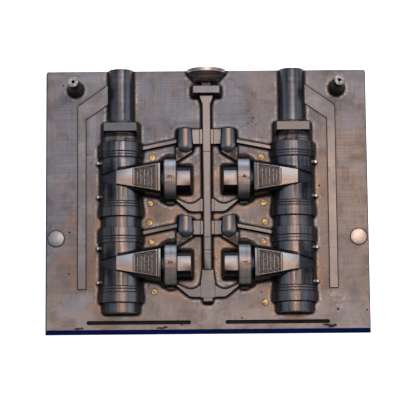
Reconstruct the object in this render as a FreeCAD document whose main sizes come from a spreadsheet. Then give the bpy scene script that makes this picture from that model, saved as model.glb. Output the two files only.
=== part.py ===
import FreeCAD, Part
import math
import os
import Sketcher
from FreeCAD import Vector

# Sand casting pattern plate: a ribbed plate that carries two columns of half-round patterns,
# their core prints and one central running system. Millimetres. The plate lies on its back,
# X runs across it, Y runs up to the pouring basin and Z points out of the moulding face.

SIZES = {
    # plate
    "plate_long": 650.0,
    "plate_wide": 530.0,
    "plate_thick": 50.0,
    "edge_flare": 6.5,
    "side_rim": 95.0,
    "end_rim": 50.0,
    "rib_thick": 25.0,
    "face_wall": 22.0,
    "pocket_corner": 9.0,
    # milled slots near the lower edge
    "slot_near": 38.4,
    "slot_far": 240.5,
    "slot_down": 251.0,
    "slot_radius": 4.0,
    "slot_depth": 4.0,
    # gas vent strips beside the columns
    "strip_line": 262.0,
    "strip_width": 15.7,
    "strip_foot": 183.0,
    "strip_elbow": 191.7,
    "strip_inner_elbow": 164.5,
    "strip_head": 235.5,
    "strip_inner_head": 196.0,
    "strip_rise": 1.5,
    "strip_sunk": 3.0,
    "strip_gap": 0.9,
    # column and branch axes
    "column_out": 174.5,
    "branch_up": 38.6,
    "pitch": 173.5,
    # run of one body pattern, measured along the column from the branch axis
    "run_up": 73.0,
    "run_down": 77.0,
    "flange_radius": 45.0,
    "top_flange": 29.6,
    "low_flange": 17.5,
    "neck_radius": 42.0,
    # branch of one body pattern, measured across from the column axis
    "flat_height": 44.5,
    "tongue_start": 8.0,
    "tongue_half": 13.0,
    "branch_end": 80.0,
    "branch_half": 28.0,
    "shoulder_slope": 6.0,
    "base_spread": 3.5,
    "ramp_step": 4.5,
    "ramp_start_half": 15.0,
    "ramp_reach": 43.5,
    "ramp_foot": 7.0,
    "ramp_half": 7.5,
    "ramp_draft": 0.08,
    "panel_start": 27.0,
    "panel_end": 72.5,
    "panel_edge": 1.8,
    "panel_sunk": 0.7,
    "collar_start": 88.0,
    "collar_width": 24.3,
    "collar_radius": 47.0,
    "collar_root": 42.0,
    "lug_width": 15.0,
    "lug_height": 9.0,
    "lug_rise": 3.2,
    "root_depth": 9.0,
    "tab_up": 32.3,
    "tab_down": 36.7,
    "tab_reach": 47.8,
    "tab_width": 5.0,
    "tab_height": 20.0,
    # core prints
    "mid_print_radius": 38.3,
    "low_print_radius": 37.6,
    "low_print_length": 22.0,
    "key_print_length": 44.0,
    "key_print_radius": 38.1,
    "key_half": 35.0,
    "key_height": 48.0,
    "key_length": 21.0,
    "key_place": 18.7,
    "key_draft": 2.2,
    "top_print_radius": 26.0,
    "branch_print_radius": 30.7,
    "branch_print_length": 32.5,
    "branch_print_flat": 27.0,
    "branch_print_slope": 4.0,
    # feeders, measured from the plate centre line and from their branch axis
    "feeder_out": 43.8,
    "feeder_up": 69.5,
    "bulb_radius": 19.6,
    "bulb_head_radius": 17.6,
    "bulb_lean": 3.0,
    "upper_head": 106.3,
    "lower_head_outer": 101.5,
    "lower_head_inner": 93.3,
    "neck_height": 12.0,
    "inlet_height": 10.5,
    "inlet_draft": 2.2,
    "upper_inlet_high": 104.5,
    "upper_inlet_low": 70.3,
    "lower_inlet_high": 90.4,
    "lower_inlet_low": 58.1,
    "gate_height": 6.5,
    "gate_half": 6.0,
    "gate_draft": 2.6,
    "gate_bulb_up": 82.5,
    "gate_ring_up": 65.0,
    "web_width": 9.5,
    "web_far_turn": 41.4,
    "web_near_turn": 17.5,
    # running system on the centre line
    "bar_half": 11.3,
    "bar_draft": 3.6,
    "bar_height": 14.0,
    "joint_line": 14.3,
    "sprue_foot": 94.7,
    "joint_top": 80.2,
    "joint_foot": 106.4,
    "spacer_foot": 114.6,
    "widen_start": 146.0,
    "widen_middle": 158.0,
    "widen_middle_half": 12.0,
    "widen_end": 170.3,
    "runner_foot": 202.5,
    "tail_length": 13.5,
    "tail_half": 9.4,
    "tail_slope": 5.5,
    "flare_half": 16.5,
    "flare_middle_half": 12.9,
    "flare_length": 17.0,
    "block_half": 31.0,
    "block_length": 27.0,
    "block_gap": 4.6,
    "block_height": 29.0,
    "block_draft": 6.5,
    "block_draft_side": 4.6,
    "block_corner": 4.5,
    "basin_length": 26.4,
    "basin_radius": 40.6,
    "basin_rim": 8.0,
    "basin_step": 3.0,
    "basin_foot_radius": 22.4,
    "basin_neck_half": 13.0,
    # side gates from the runner to the collars
    "arm_height": 9.0,
    "arm_draft": 1.6,
    "arm_low": 67.6,
    "arm_outer_round": 20.0,
    "arm_outer_turn": 40.0,
    "arm_outer_place": 29.0,
    "arm_inner_round": 23.0,
    "arm_inner_turn": 115.0,
    "arm_inner_place": 11.3,
    "arm_inner_up": 26.0,
    # guide pins and their nuts
    "pin_out": 266.9,
    "pin_up": 226.6,
    "pin_radius": 14.8,
    "pin_land": 12.0,
    "pin_body_radius": 12.4,
    "pin_tip_radius": 10.2,
    "pin_lead": 12.0,
    "pin_height": 80.0,
    "fit_gap": 0.1,
    # rest pads
    "pad_out": 306.2,
    "pad_down": 80.0,
    "pad_radius": 16.2,
    "pad_rise": 1.5,
    "pad_sunk": 8.0,
    "pad_gap": 0.8,
}


class Size:
    """A length that carries its formula, so that a feature can be bound to it."""

    def __init__(self, value, formula):
        self.value = value
        self.formula = formula

    def __add__(self, other):
        other = as_size(other)
        return Size(self.value + other.value, f"({self.formula} + {other.formula})")

    def __sub__(self, other):
        other = as_size(other)
        return Size(self.value - other.value, f"({self.formula} - {other.formula})")

    def __mul__(self, other):
        other = as_size(other)
        return Size(self.value * other.value, f"({self.formula} * {other.formula})")

    def __truediv__(self, other):
        other = as_size(other)
        return Size(self.value / other.value, f"({self.formula} / {other.formula})")

    def __radd__(self, other):
        return as_size(other) + self

    def __rsub__(self, other):
        return as_size(other) - self

    def __rmul__(self, other):
        return as_size(other) * self

    def __neg__(self):
        return self * -1


def as_size(item):
    return item if isinstance(item, Size) else Size(float(item), f"({float(item)!r})")


def root(size):
    return Size(math.sqrt(size.value), f"sqrt({size.formula})")


def sine(degrees):
    return Size(math.sin(math.radians(degrees.value)), f"sin({degrees.formula})")


def cosine(degrees):
    return Size(math.cos(math.radians(degrees.value)), f"cos({degrees.formula})")


def beside(radius, off):
    """Height of a half-round of this radius at a distance off its axis."""
    return root(radius * radius - off * off)


doc = FreeCAD.newDocument("pattern_plate")
sheet = doc.addObject("Spreadsheet::Sheet", "sizes")
s = {}
for row, (alias, value) in enumerate(SIZES.items(), start=1):
    sheet.set(f"A{row}", alias)
    sheet.set(f"B{row}", str(value))
    sheet.setAlias(f"B{row}", alias)
    s[alias] = Size(value, f"sizes.{alias}")
doc.recompute()

face = s["plate_thick"]
ZERO = as_size(0)
nodes = {}


def bind(item, path, size):
    size = as_size(size)
    item.setExpression(path, size.formula)


def new_body(node, x=ZERO, y=ZERO, z=ZERO):
    """A body of the named node; a node with several is exported as a group of loose solids."""
    members = nodes.setdefault(node, [])
    body = doc.addObject("PartDesign::Body", f"{node}_{len(members) + 1}")
    body.Label = f"{node}_{len(members) + 1}"
    for axis, size in (("x", x), ("y", y), ("z", z)):
        bind(body, f"Placement.Base.{axis}", size)
    members.append(body)
    return body


def new_sketch(body, plane, offset=ZERO):
    sketch = body.newObject("Sketcher::SketchObject", f"{body.Label}_sketch")
    origin = [item for item in body.Origin.OriginFeatures if item.Role == plane]
    sketch.AttachmentSupport = [(origin[0], "")]
    sketch.MapMode = "FlatFace"
    bind(sketch, "AttachmentOffset.Base.z", offset)
    return sketch


def hold(sketch, geometry, point, x, y):
    for kind, size in (("DistanceX", x), ("DistanceY", y)):
        constraint = Sketcher.Constraint(kind, -1, 1, geometry, point, size.value)
        bind(sketch, f"Constraints[{sketch.addConstraint(constraint)}]", size)


def add_arc(sketch, start, end, radius):
    """Minor arc from start to end: bulging left of the way for a positive radius."""
    chord = end - start
    middle = (start + end) * 0.5
    side = Vector(chord.y, -chord.x, 0).normalize()
    drop = math.sqrt(max(radius.value ** 2 - chord.Length ** 2 / 4, 0.0))
    centre = middle + side * math.copysign(drop, radius.value)
    circle = Part.Circle(centre, Vector(0, 0, 1), abs(radius.value))
    anticlockwise = radius.value < 0
    first, last = (start, end) if anticlockwise else (end, start)
    angles = [math.atan2(point.y - centre.y, point.x - centre.x) for point in (first, last)]
    index = sketch.addGeometry(Part.ArcOfCircle(circle, *angles), False)
    constraint = Sketcher.Constraint("Radius", index, abs(radius.value))
    bind(sketch, f"Constraints[{sketch.addConstraint(constraint)}]",
         -radius if anticlockwise else radius)
    return (index, 1, 2) if anticlockwise else (index, 2, 1)


def outline(sketch, points):
    """A closed outline: each point is x, y and, where an arc leads on from it, a radius."""
    corners = [[as_size(item) for item in point] for point in points]
    places = [Vector(corner[0].value, corner[1].value, 0) for corner in corners]
    edges = []
    for number, corner in enumerate(corners):
        start, end = places[number], places[(number + 1) % len(places)]
        if len(corner) == 3:
            edges.append(add_arc(sketch, start, end, corner[2]))
        else:
            index = sketch.addGeometry(Part.LineSegment(start, end), False)
            edges.append((index, 1, 2))
    for number, (index, first, last) in enumerate(edges):
        following, next_first, _ = edges[(number + 1) % len(edges)]
        sketch.addConstraint(
            Sketcher.Constraint("Coincident", index, last, following, next_first))
        hold(sketch, index, first, corners[number][0], corners[number][1])


def profile(body, plane, points, offset=ZERO):
    sketch = new_sketch(body, plane, offset)
    outline(sketch, points)
    return sketch


def pad(body, plane, points, length, offset=ZERO, reverse=False):
    feature = body.newObject("PartDesign::Pad", f"{body.Label}_pad")
    feature.Profile = profile(body, plane, points, offset)
    feature.Reversed = reverse
    bind(feature, "Length", length)
    return feature


def pocket(body, plane, points, length, offset=ZERO, reverse=False):
    feature = body.newObject("PartDesign::Pocket", f"{body.Label}_pocket")
    feature.Profile = profile(body, plane, points, offset)
    feature.Reversed = reverse
    bind(feature, "Length", length)
    return feature


def drill(body, centres, radius, depth, offset=ZERO):
    """Round holes of one size, cut down from the height offset."""
    sketch = new_sketch(body, "XY_Plane", offset)
    for x, y in centres:
        x, y = as_size(x), as_size(y)
        centre = Vector(x.value, y.value, 0)
        circle = sketch.addGeometry(Part.Circle(centre, Vector(0, 0, 1), radius.value), False)
        hold(sketch, circle, 3, x, y)
        constraint = Sketcher.Constraint("Radius", circle, radius.value)
        bind(sketch, f"Constraints[{sketch.addConstraint(constraint)}]", radius)
    feature = body.newObject("PartDesign::Pocket", f"{body.Label}_holes")
    feature.Profile = sketch
    bind(feature, "Length", depth)
    return feature


def half_turn(body, plane, points):
    """A half-round: the outline, given along and off its axis, turned through 180 degrees."""
    sketch = profile(body, plane, points)
    feature = body.newObject("PartDesign::Revolution", f"{body.Label}_half_turn")
    feature.Profile = sketch
    feature.ReferenceAxis = (sketch, ["H_Axis"])
    feature.Angle = 180
    feature.Midplane = True
    return feature


def loft(body, plane, stages, cut=False):
    """A ruled loft through outlines, each given with its offset along the plane's normal."""
    sketches = [profile(body, plane, points, offset) for offset, points in stages]
    kind = "SubtractiveLoft" if cut else "AdditiveLoft"
    feature = body.newObject(f"PartDesign::{kind}", f"{body.Label}_loft")
    feature.Profile = sketches[0]
    feature.Sections = sketches[1:]
    feature.Ruled = True
    return feature


def rectangle(left, right, low, high):
    return [(left, low), (right, low), (right, high), (left, high)]


def cut_rectangle(left, right, low, high, corner):
    """A rectangle with its corners cut off at 45 degrees."""
    return [(left + corner, low), (right - corner, low), (right, low + corner),
            (right, high - corner), (right - corner, high), (left + corner, high),
            (left, high - corner), (left, low + corner)]


def drafted_block(body, half, low, high, height, side_draft, end_draft):
    """A block on the face with round corners, whose four sides lean inward by their drafts."""
    turn = s["block_corner"]
    pad(body, "XY_Plane", [(-half, low + turn), (-half, high - turn, turn), (turn - half, high),
                           (half - turn, high, turn), (half, high - turn),
                           (half, low + turn, turn), (half - turn, low),
                           (turn - half, low, turn)], height)
    for way in (-1, 1):
        edge = way * half
        pocket(body, "XZ_Plane", [(edge, 0), (edge - way * side_draft, height), (edge, height)],
               high - low, -low)
    for place, lean in ((low, end_draft), (high, -end_draft)):
        pocket(body, "YZ_Plane", [(place, 0), (place + lean, height), (place, height)],
               half * 2, half)


# Shared places
SIDES = (("left", -1), ("right", 1))
LEVELS = (("upper", s["branch_up"]), ("lower", s["branch_up"] - s["pitch"]))
collar_end = s["collar_start"] + s["collar_width"]
print_top = s["branch_up"] + s["run_up"]
key_end = print_top + s["key_print_length"]
low_print_start = s["branch_up"] - s["pitch"] - s["run_down"]
half_wide = s["plate_wide"] / 2
pocket_floor = face - s["face_wall"]
basin_foot = half_wide - s["basin_length"]
block_high = basin_foot - s["block_gap"]
block_low = block_high - s["block_length"]


# Base plate: flared edges, a pocketed back, and the seats of everything it carries
def strip_outline(side, gap):
    """Plan of a gas vent strip, grown by gap all round."""
    outer = s["strip_line"] + gap
    inner = s["strip_line"] - s["strip_width"] - gap
    head = s["column_out"] + s["top_print_radius"] + s["strip_gap"] - gap
    foot = -s["strip_foot"] - gap
    return [(side * head, s["strip_head"] + gap), (side * outer, s["strip_elbow"] + gap),
            (side * outer, foot), (side * inner, foot),
            (side * inner, s["strip_inner_elbow"] - gap),
            (side * head, s["strip_inner_head"] - gap)]


def make_base_plate():
    body = new_body("base_plate")
    half_long = s["plate_long"] / 2
    flare = s["edge_flare"]
    back = rectangle(-half_long - flare, half_long + flare, -half_wide - flare,
                     half_wide + flare)
    front = rectangle(-half_long, half_long, -half_wide, half_wide)
    loft(body, "XY_Plane", [(ZERO, back), (face, front)])
    make_back_pockets(body, half_long + flare - s["side_rim"], half_wide + flare - s["end_rim"])
    for _, side in SIDES:
        pocket(body, "XY_Plane", strip_outline(side, s["strip_gap"]), s["strip_sunk"], face)
        near, far = side * s["slot_near"], side * s["slot_far"]
        left, right = (near, far) if side > 0 else (far, near)
        radius, level = s["slot_radius"], -s["slot_down"]
        slot = [(left, level - radius), (right, level - radius, -radius),
                (right + radius, level, -radius), (right, level + radius),
                (left, level + radius, -radius), (left - radius, level, -radius)]
        pocket(body, "XY_Plane", slot, s["slot_depth"], face)
    pads = [(side * s["pad_out"], -s["pad_down"]) for _, side in SIDES]
    drill(body, pads, s["pad_radius"] + s["pad_gap"], s["pad_sunk"], face)


def make_back_pockets(body, reach_x, reach_y):
    """Three by two pockets between the rim and the ribs."""
    columns, rows = 3, 2
    sketch = new_sketch(body, "XY_Plane")
    wide = (reach_x * 2 - s["rib_thick"] * (columns - 1)) / columns
    tall = (reach_y * 2 - s["rib_thick"] * (rows - 1)) / rows
    for column in range(columns):
        left = -reach_x + (wide + s["rib_thick"]) * column
        for row in range(rows):
            low = -reach_y + (tall + s["rib_thick"]) * row
            outline(sketch, cut_rectangle(left, left + wide, low, low + tall,
                                          s["pocket_corner"]))
    feature = body.newObject("PartDesign::Pocket", "back_pockets")
    feature.Profile = sketch
    feature.Reversed = True
    bind(feature, "Length", pocket_floor)


# Core prints along a column
def print_at(node, side, start, points):
    body = new_body(node, side * s["column_out"], start, face)
    half_turn(body, "YZ_Plane", points)
    return body


def make_column_prints(side):
    gap = s["pitch"] - s["run_up"] - s["run_down"]
    radius = s["mid_print_radius"]
    print_at("middle_core_prints", side, s["branch_up"] - s["run_down"] - gap,
             [(0, 0), (gap, 0), (gap, radius), (0, radius)])

    length, radius = s["low_print_length"], s["low_print_radius"]
    print_at("bottom_core_prints", side, low_print_start,
             [(0, 0), (0, radius), (-length, radius), (-length, 0)])

    key = new_body("keyed_core_prints", side * s["column_out"], print_top, face)
    low, draft = s["key_place"], s["key_draft"]
    drafted_block(key, s["key_half"], low, low + s["key_length"], s["key_height"], draft, draft)
    length, radius = s["key_print_length"], s["key_print_radius"]
    half_turn(key, "YZ_Plane", [(0, 0), (length, 0), (length, radius), (0, radius)])

    length, radius = half_wide - key_end, s["top_print_radius"]
    print_at("top_core_prints", side, key_end,
             [(0, 0), (length, 0), (length, radius), (0, radius)])


# Body patterns: a half-round run with flanges, and a branch that rises to a flat
def run_profile():
    """Half section of a run: a wide flange at each end and the neck between them."""
    ring, neck = s["flange_radius"], s["neck_radius"]
    top, low = s["run_up"], -s["run_down"]
    under, over = top - s["top_flange"], low + s["low_flange"]
    return [(top, 0), (top, ring), (under, ring), (under, neck), (over, neck), (over, ring),
            (low, ring), (low, 0)]


def branch_section(half, spread, slope, height):
    """Section across the branch: steep sides, a sloping shoulder and the flat."""
    knee = half + slope
    foot = knee + spread
    return [(-foot, 0), (foot, 0), (knee, height - slope), (half, height),
            (-half, height), (-knee, height - slope)]


def half_at(place):
    """Half width of the flat at a distance from the column axis."""
    taper = (s["branch_half"] - s["tongue_half"]) / (s["branch_end"] + s["tongue_start"])
    return s["tongue_half"] + taper * (place + s["tongue_start"])


def make_body_pattern(level, side):
    body = new_body("body_patterns", side * s["column_out"], level, face)
    inward = -side
    spread, slope, height = s["base_spread"], s["shoulder_slope"], s["flat_height"]
    loft(body, "YZ_Plane", [
        (inward * -s["tongue_start"], branch_section(s["tongue_half"], spread, slope, height)),
        (inward * s["branch_end"], branch_section(s["branch_half"], spread, slope, height))])
    half_turn(body, "YZ_Plane", run_profile())
    make_ramp(body, inward)
    make_collar(body, inward)
    make_lugs_and_tabs(body, inward)
    inset = s["panel_edge"]
    start, end = s["panel_start"] + inset, s["panel_end"] - inset
    near, far = half_at(s["panel_start"]) - inset, half_at(s["panel_end"]) - inset
    panel = [(inward * start, -near), (inward * end, -far), (inward * end, far),
             (inward * start, near)]
    pocket(body, "XY_Plane", panel, s["panel_sunk"], height)


def make_ramp(body, inward):
    """The sloping cut in the far flank of the run, where the branch form dies out."""
    ceiling = s["flange_radius"] + s["pad_rise"]
    stages = []
    for place, half, floor in (
            (s["tongue_start"], s["ramp_start_half"], s["flat_height"] - s["ramp_step"]),
            (s["ramp_reach"], s["ramp_half"], s["ramp_foot"])):
        wall = half + (ceiling - floor) * s["ramp_draft"]
        stages.append((inward * -place, [(-half, floor), (half, floor),
                                         (wall, ceiling), (-wall, ceiling)]))
    loft(body, "YZ_Plane", stages, cut=True)


def make_collar(body, inward):
    """Conical shoulder and round collar at the end of the branch."""
    start, end = s["branch_end"], collar_end
    points = [(inward * start, 0), (inward * start, s["collar_root"]),
              (inward * s["collar_start"], s["collar_radius"]),
              (inward * end, s["collar_radius"]), (inward * end, 0)]
    half_turn(body, "XZ_Plane", points)


def make_lugs_and_tabs(body, inward):
    middle = s["collar_start"] + s["collar_width"] / 2
    left, right = (inward * (middle - s["lug_width"] / 2), inward * (middle + s["lug_width"] / 2))
    reach, root_place = s["collar_radius"] + s["lug_rise"], s["collar_radius"] - s["root_depth"]
    for way in (-1, 1):
        pad(body, "XY_Plane", rectangle(left, right, way * root_place, way * reach),
            s["lug_height"])
    inner, outer = -inward * (s["neck_radius"] - s["root_depth"]), -inward * s["tab_reach"]
    for middle in (s["tab_up"], -s["tab_down"]):
        low = middle - s["tab_width"] / 2
        pad(body, "XY_Plane", rectangle(inner, outer, low, low + s["tab_width"]),
            s["tab_height"])


def make_branch_print(level, side):
    """Half-round print on the collar's end face: a flat crest and a sloping end."""
    start = side * (s["column_out"] - collar_end)
    body = new_body("branch_core_prints", start, level, face)
    inward = -side
    length, radius, flat = (s["branch_print_length"], s["branch_print_radius"],
                            s["branch_print_flat"])
    half_turn(body, "XZ_Plane", [(0, 0), (0, radius), (inward * length, radius),
                                 (inward * length, 0)])
    ceiling = radius + s["fit_gap"]
    knee = inward * (length - s["branch_print_slope"])
    waste = [(-inward * s["fit_gap"], flat), (knee, flat), (inward * length, 0),
             (inward * (length + s["fit_gap"]), 0),
             (inward * (length + s["fit_gap"]), ceiling), (-inward * s["fit_gap"], ceiling)]
    pocket(body, "XZ_Plane", waste, ceiling * 2, ceiling)


# Feeders: a bulb with its inlet from the runner, its gate to the flange and its collar neck
def make_feeder(level_name, level, side):
    centre = side * s["feeder_out"]
    body = new_body("feeders", centre, level, face)
    upper = level_name == "upper"
    radius, middle = s["bulb_radius"], s["feeder_up"]
    head = s["upper_head"] if upper else s["lower_head_outer"] + s["fit_gap"]
    half_turn(body, "YZ_Plane", [(middle - radius, 0, radius), (middle, radius),
                                 (head - s["bulb_lean"], s["bulb_head_radius"]), (head, 0)])
    if not upper:
        outer, inner = s["lower_head_outer"], s["lower_head_inner"]
        slant = (outer - inner) / 2
        across, mean, ceiling = radius + s["fit_gap"], outer - slant, head + s["fit_gap"]
        pocket(body, "XY_Plane", [
            (side * across, mean + slant), (side * across, ceiling),
            (-side * across, ceiling), (-side * across, mean - slant)], across, across)
    make_inlet(body, side, upper)
    make_gate(body, side)
    make_collar_neck(body, side)


def make_inlet(body, side, upper):
    key = "upper" if upper else "lower"
    high, low, draft = s[f"{key}_inlet_high"], s[f"{key}_inlet_low"], s["inlet_draft"]
    height = s["inlet_height"]
    section = [(low, 0), (high, 0), (high - draft, height), (low + draft, height)]
    start = side * (s["joint_line"] - s["feeder_out"])
    pad(body, "YZ_Plane", section, s["feeder_out"] - s["joint_line"], start, reverse=side < 0)


def make_gate(body, side):
    """The sloping bar from the bulb to the flange of the run."""
    ring = side * (s["column_out"] - s["flange_radius"] - s["feeder_out"])
    stages = []
    for level, draft in ((ZERO, ZERO), (s["gate_height"], s["gate_draft"])):
        half = s["gate_half"] - draft
        stages.append((level, [(ZERO, s["gate_bulb_up"] - half), (ring, s["gate_ring_up"] - half),
                               (ring, s["gate_ring_up"] + half),
                               (ZERO, s["gate_bulb_up"] + half)]))
    loft(body, "XY_Plane", stages)


def make_collar_neck(body, side):
    """The web from the bulb's tip to the end face of the collar."""
    collar = side * (s["column_out"] - collar_end - s["feeder_out"])
    root, middle = s["bulb_radius"] - s["fit_gap"], s["feeder_up"]
    far, near = s["web_far_turn"], s["web_near_turn"]
    high = beside(s["collar_radius"], s["neck_height"]) - s["fit_gap"]
    plan = [(collar, high - s["web_width"]),
            (-side * root * cosine(far), middle - root * sine(far)), (ZERO, middle),
            (side * root * cosine(near), middle - root * sine(near)), (collar, high)]
    pad(body, "XY_Plane", plan, s["neck_height"])


# Side gates: curved arms from the runner to the collars
def arm_outline(side, inset):
    """Plan of an arm in the frame of its branch axis, drawn in by inset."""
    low = inset - s["arm_low"]
    outer, outer_turn = s["arm_outer_round"] - inset, s["arm_outer_turn"]
    outer_x, outer_y = s["arm_outer_place"], s["arm_outer_round"] - s["arm_low"]
    inner, inner_turn = s["arm_inner_round"] + inset, s["arm_inner_turn"]
    inner_x, inner_y = s["arm_inner_place"] + s["arm_inner_round"], -s["arm_inner_up"]
    joint, collar = s["joint_line"], s["column_out"] - collar_end
    joint_drop = beside(inner, inner_x - joint)
    inner_end = (inner_x - inner * cosine(inner_turn), inner_y - inner * sine(inner_turn))
    inner_slope = cosine(inner_turn) / sine(inner_turn)
    outer_end = (outer_x + outer * sine(outer_turn), outer_y - outer * cosine(outer_turn))
    outer_slope = sine(outer_turn) / cosine(outer_turn)
    plan = [(joint, low), (joint, inner_y - joint_drop, side * -inner), inner_end,
            (collar, inner_end[1] - inner_slope * (collar - inner_end[0])),
            (collar, outer_end[1] + outer_slope * (collar - outer_end[0])),
            (*outer_end, side * outer), (outer_x, low)]
    return [(side * point[0], *point[1:]) for point in plan]


def make_side_gate(level, side):
    body = new_body("side_gates", ZERO, level, face)
    loft(body, "XY_Plane", [(ZERO, arm_outline(side, ZERO)),
                            (s["arm_height"], arm_outline(side, s["arm_draft"]))])


# Running system on the centre line
def bar_section(half, height):
    return [(-half, 0), (half, 0), (half - s["bar_draft"], height),
            (s["bar_draft"] - half, height)]


def make_bar(body, start, end):
    """A drafted bar along the centre line, from the higher place start down to end."""
    pad(body, "XZ_Plane", bar_section(s["bar_half"], s["bar_height"]), start - end, -start)


def stub(body, high, low, height):
    """A short root on each side of the bar, where an inlet or an arm meets it."""
    for _, side in SIDES:
        inner, outer = side * (s["bar_half"] - s["bar_draft"]), side * s["joint_line"]
        pad(body, "XY_Plane", [(inner, low), (outer, low), (outer, high), (inner, high)], height)


def inlet_stub(body, level_name, level):
    draft = s["inlet_draft"]
    stub(body, level + s[f"{level_name}_inlet_high"] - draft,
         level + s[f"{level_name}_inlet_low"] + draft, s["inlet_height"])


def arm_stub(body, level):
    inner = s["arm_inner_round"] + s["arm_draft"]
    drop = beside(inner, s["arm_inner_place"] + s["arm_inner_round"] - s["joint_line"])
    stub(body, level - s["arm_inner_up"] - drop, level + s["arm_draft"] - s["arm_low"],
         s["arm_height"])


def make_running_system():
    upper, lower = (level for _, level in LEVELS)
    make_basin()
    make_sprue(upper)

    body = new_body("runner_upper", z=face)
    make_bar(body, s["sprue_foot"], -s["joint_top"])
    arm_stub(body, upper)
    inlet_stub(body, "lower", lower)

    body = new_body("runner_joint_piece", z=face)
    make_bar(body, -s["joint_top"], -s["joint_foot"])

    body = new_body("runner_spacer", z=face)
    make_bar(body, -s["joint_foot"], -s["spacer_foot"])

    body = new_body("runner_lower", z=face)
    make_bar(body, -s["spacer_foot"], -s["widen_start"])
    stages = [(s["bar_half"], s["widen_start"]), (s["widen_middle_half"], s["widen_middle"]),
              (s["joint_line"], s["widen_end"]), (s["joint_line"], s["runner_foot"])]
    plan = [(half, -down) for half, down in stages]
    plan += [(-half, -down) for half, down in reversed(stages)]
    pad(body, "XY_Plane", plan, s["arm_height"])

    body = new_body("runner_tail", y=-s["runner_foot"], z=face)
    height, length = s["bar_height"], s["tail_length"]
    side_view = [(0, 0), (0, height), (s["tail_slope"] - length, height), (-length, 0)]
    half = s["tail_half"]
    pad(body, "YZ_Plane", side_view, half * 2, -half)


def make_basin():
    """Half of a stepped pouring funnel, flush with the plate's top edge."""
    body = new_body("pouring_basin", z=face)
    rim = half_wide - s["basin_rim"]
    radius = s["basin_radius"]
    half_turn(body, "YZ_Plane", [
        (half_wide, 0), (half_wide, radius), (rim, radius), (rim, radius - s["basin_step"]),
        (basin_foot, s["basin_foot_radius"]), (basin_foot, 0)])


def make_sprue(upper):
    """Block under the basin, its neck, and the flared bar down to the first joint."""
    body = new_body("sprue", z=face)
    half, low, high = s["block_half"], block_low, block_high
    draft, side_draft = s["block_draft"], s["block_draft_side"]
    drafted_block(body, half, low, high, s["block_height"], side_draft, draft)
    neck, height = s["basin_neck_half"], s["neck_height"]
    pad(body, "XZ_Plane", bar_section(neck, height), basin_foot - high + draft, -basin_foot)
    make_bar(body, low + draft, s["sprue_foot"])
    loft(body, "XZ_Plane", [
        (-low - draft, bar_section(s["flare_half"], s["bar_height"])),
        (-low, bar_section(s["flare_half"], s["bar_height"])),
        (s["flare_length"] / 2 - low, bar_section(s["flare_middle_half"], s["bar_height"])),
        (s["flare_length"] - low, bar_section(s["bar_half"], s["bar_height"]))])
    inlet_stub(body, "upper", upper)


# Gas vent strips, guide pins and rest pads
def make_strip(side):
    body = new_body("gas_vent_strips", z=face - s["strip_sunk"])
    pad(body, "XY_Plane", strip_outline(side, ZERO), s["strip_sunk"] + s["strip_rise"])


def turned(body, points):
    """A full turn about the upright axis of an outline given off and along it."""
    sketch = profile(body, "XZ_Plane", points)
    feature = body.newObject("PartDesign::Revolution", f"{body.Label}_turned")
    feature.Profile = sketch
    feature.ReferenceAxis = (sketch, ["V_Axis"])
    feature.Angle = 360


def make_guide_pin(side):
    """Guide land, body and tapered nose of a pin that stands on the face."""
    body = new_body("guide_pins", side * s["pin_out"], s["pin_up"], face)
    land, wide, top = s["pin_land"], s["pin_body_radius"], s["pin_height"]
    turned(body, [(0, 0), (s["pin_radius"], 0), (s["pin_radius"], land), (wide, land),
                  (wide, top - s["pin_lead"]), (s["pin_tip_radius"], top), (0, top)])


def make_rest_pad(side):
    body = new_body("rest_pads", side * s["pad_out"], -s["pad_down"], face - s["pad_sunk"])
    radius, top = s["pad_radius"], s["pad_rise"] + s["pad_sunk"]
    turned(body, [(0, 0), (radius, 0), (radius, top), (0, top)])


make_base_plate()
for _, side in SIDES:
    make_strip(side)
    make_column_prints(side)
    make_guide_pin(side)
    make_rest_pad(side)
    for level_name, level in LEVELS:
        make_body_pattern(level, side)
        make_branch_print(level, side)
        make_feeder(level_name, level, side)
        make_side_gate(level, side)
make_running_system()

pieces = []
for node, members in nodes.items():
    if len(members) == 1:
        piece = members[0]
    else:
        piece = doc.addObject("Part::Compound", node)
        piece.Links = members
    piece.Label = node
    pieces.append(piece)
doc.recompute()

failed = [item.Name for item in doc.Objects if "Invalid" in item.State or "Error" in item.State]
failed += [piece.Label for piece in pieces
           if piece.Shape.isNull() or not piece.Shape.isValid()]
if failed:
    raise RuntimeError("these did not build: " + ", ".join(failed))

os.makedirs("parts", exist_ok=True)
for piece in pieces:
    piece.Shape.exportStep(f"parts/{piece.Label}.step")
print(f"{len(pieces)} pieces written")
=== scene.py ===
import math

import bmesh
import bpy
from mathutils import Matrix, Vector


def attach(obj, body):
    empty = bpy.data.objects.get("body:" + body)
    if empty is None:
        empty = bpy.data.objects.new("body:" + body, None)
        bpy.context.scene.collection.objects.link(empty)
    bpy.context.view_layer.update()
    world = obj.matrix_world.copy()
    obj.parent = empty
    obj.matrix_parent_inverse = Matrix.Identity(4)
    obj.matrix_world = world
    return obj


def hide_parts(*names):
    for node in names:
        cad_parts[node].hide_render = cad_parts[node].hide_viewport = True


# Looks of the sand casting pattern plate. Metres, in the row frame: the plate lies on its back,
# X runs across it, Y up to the pouring basin and Z out of the moulding face.

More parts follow.
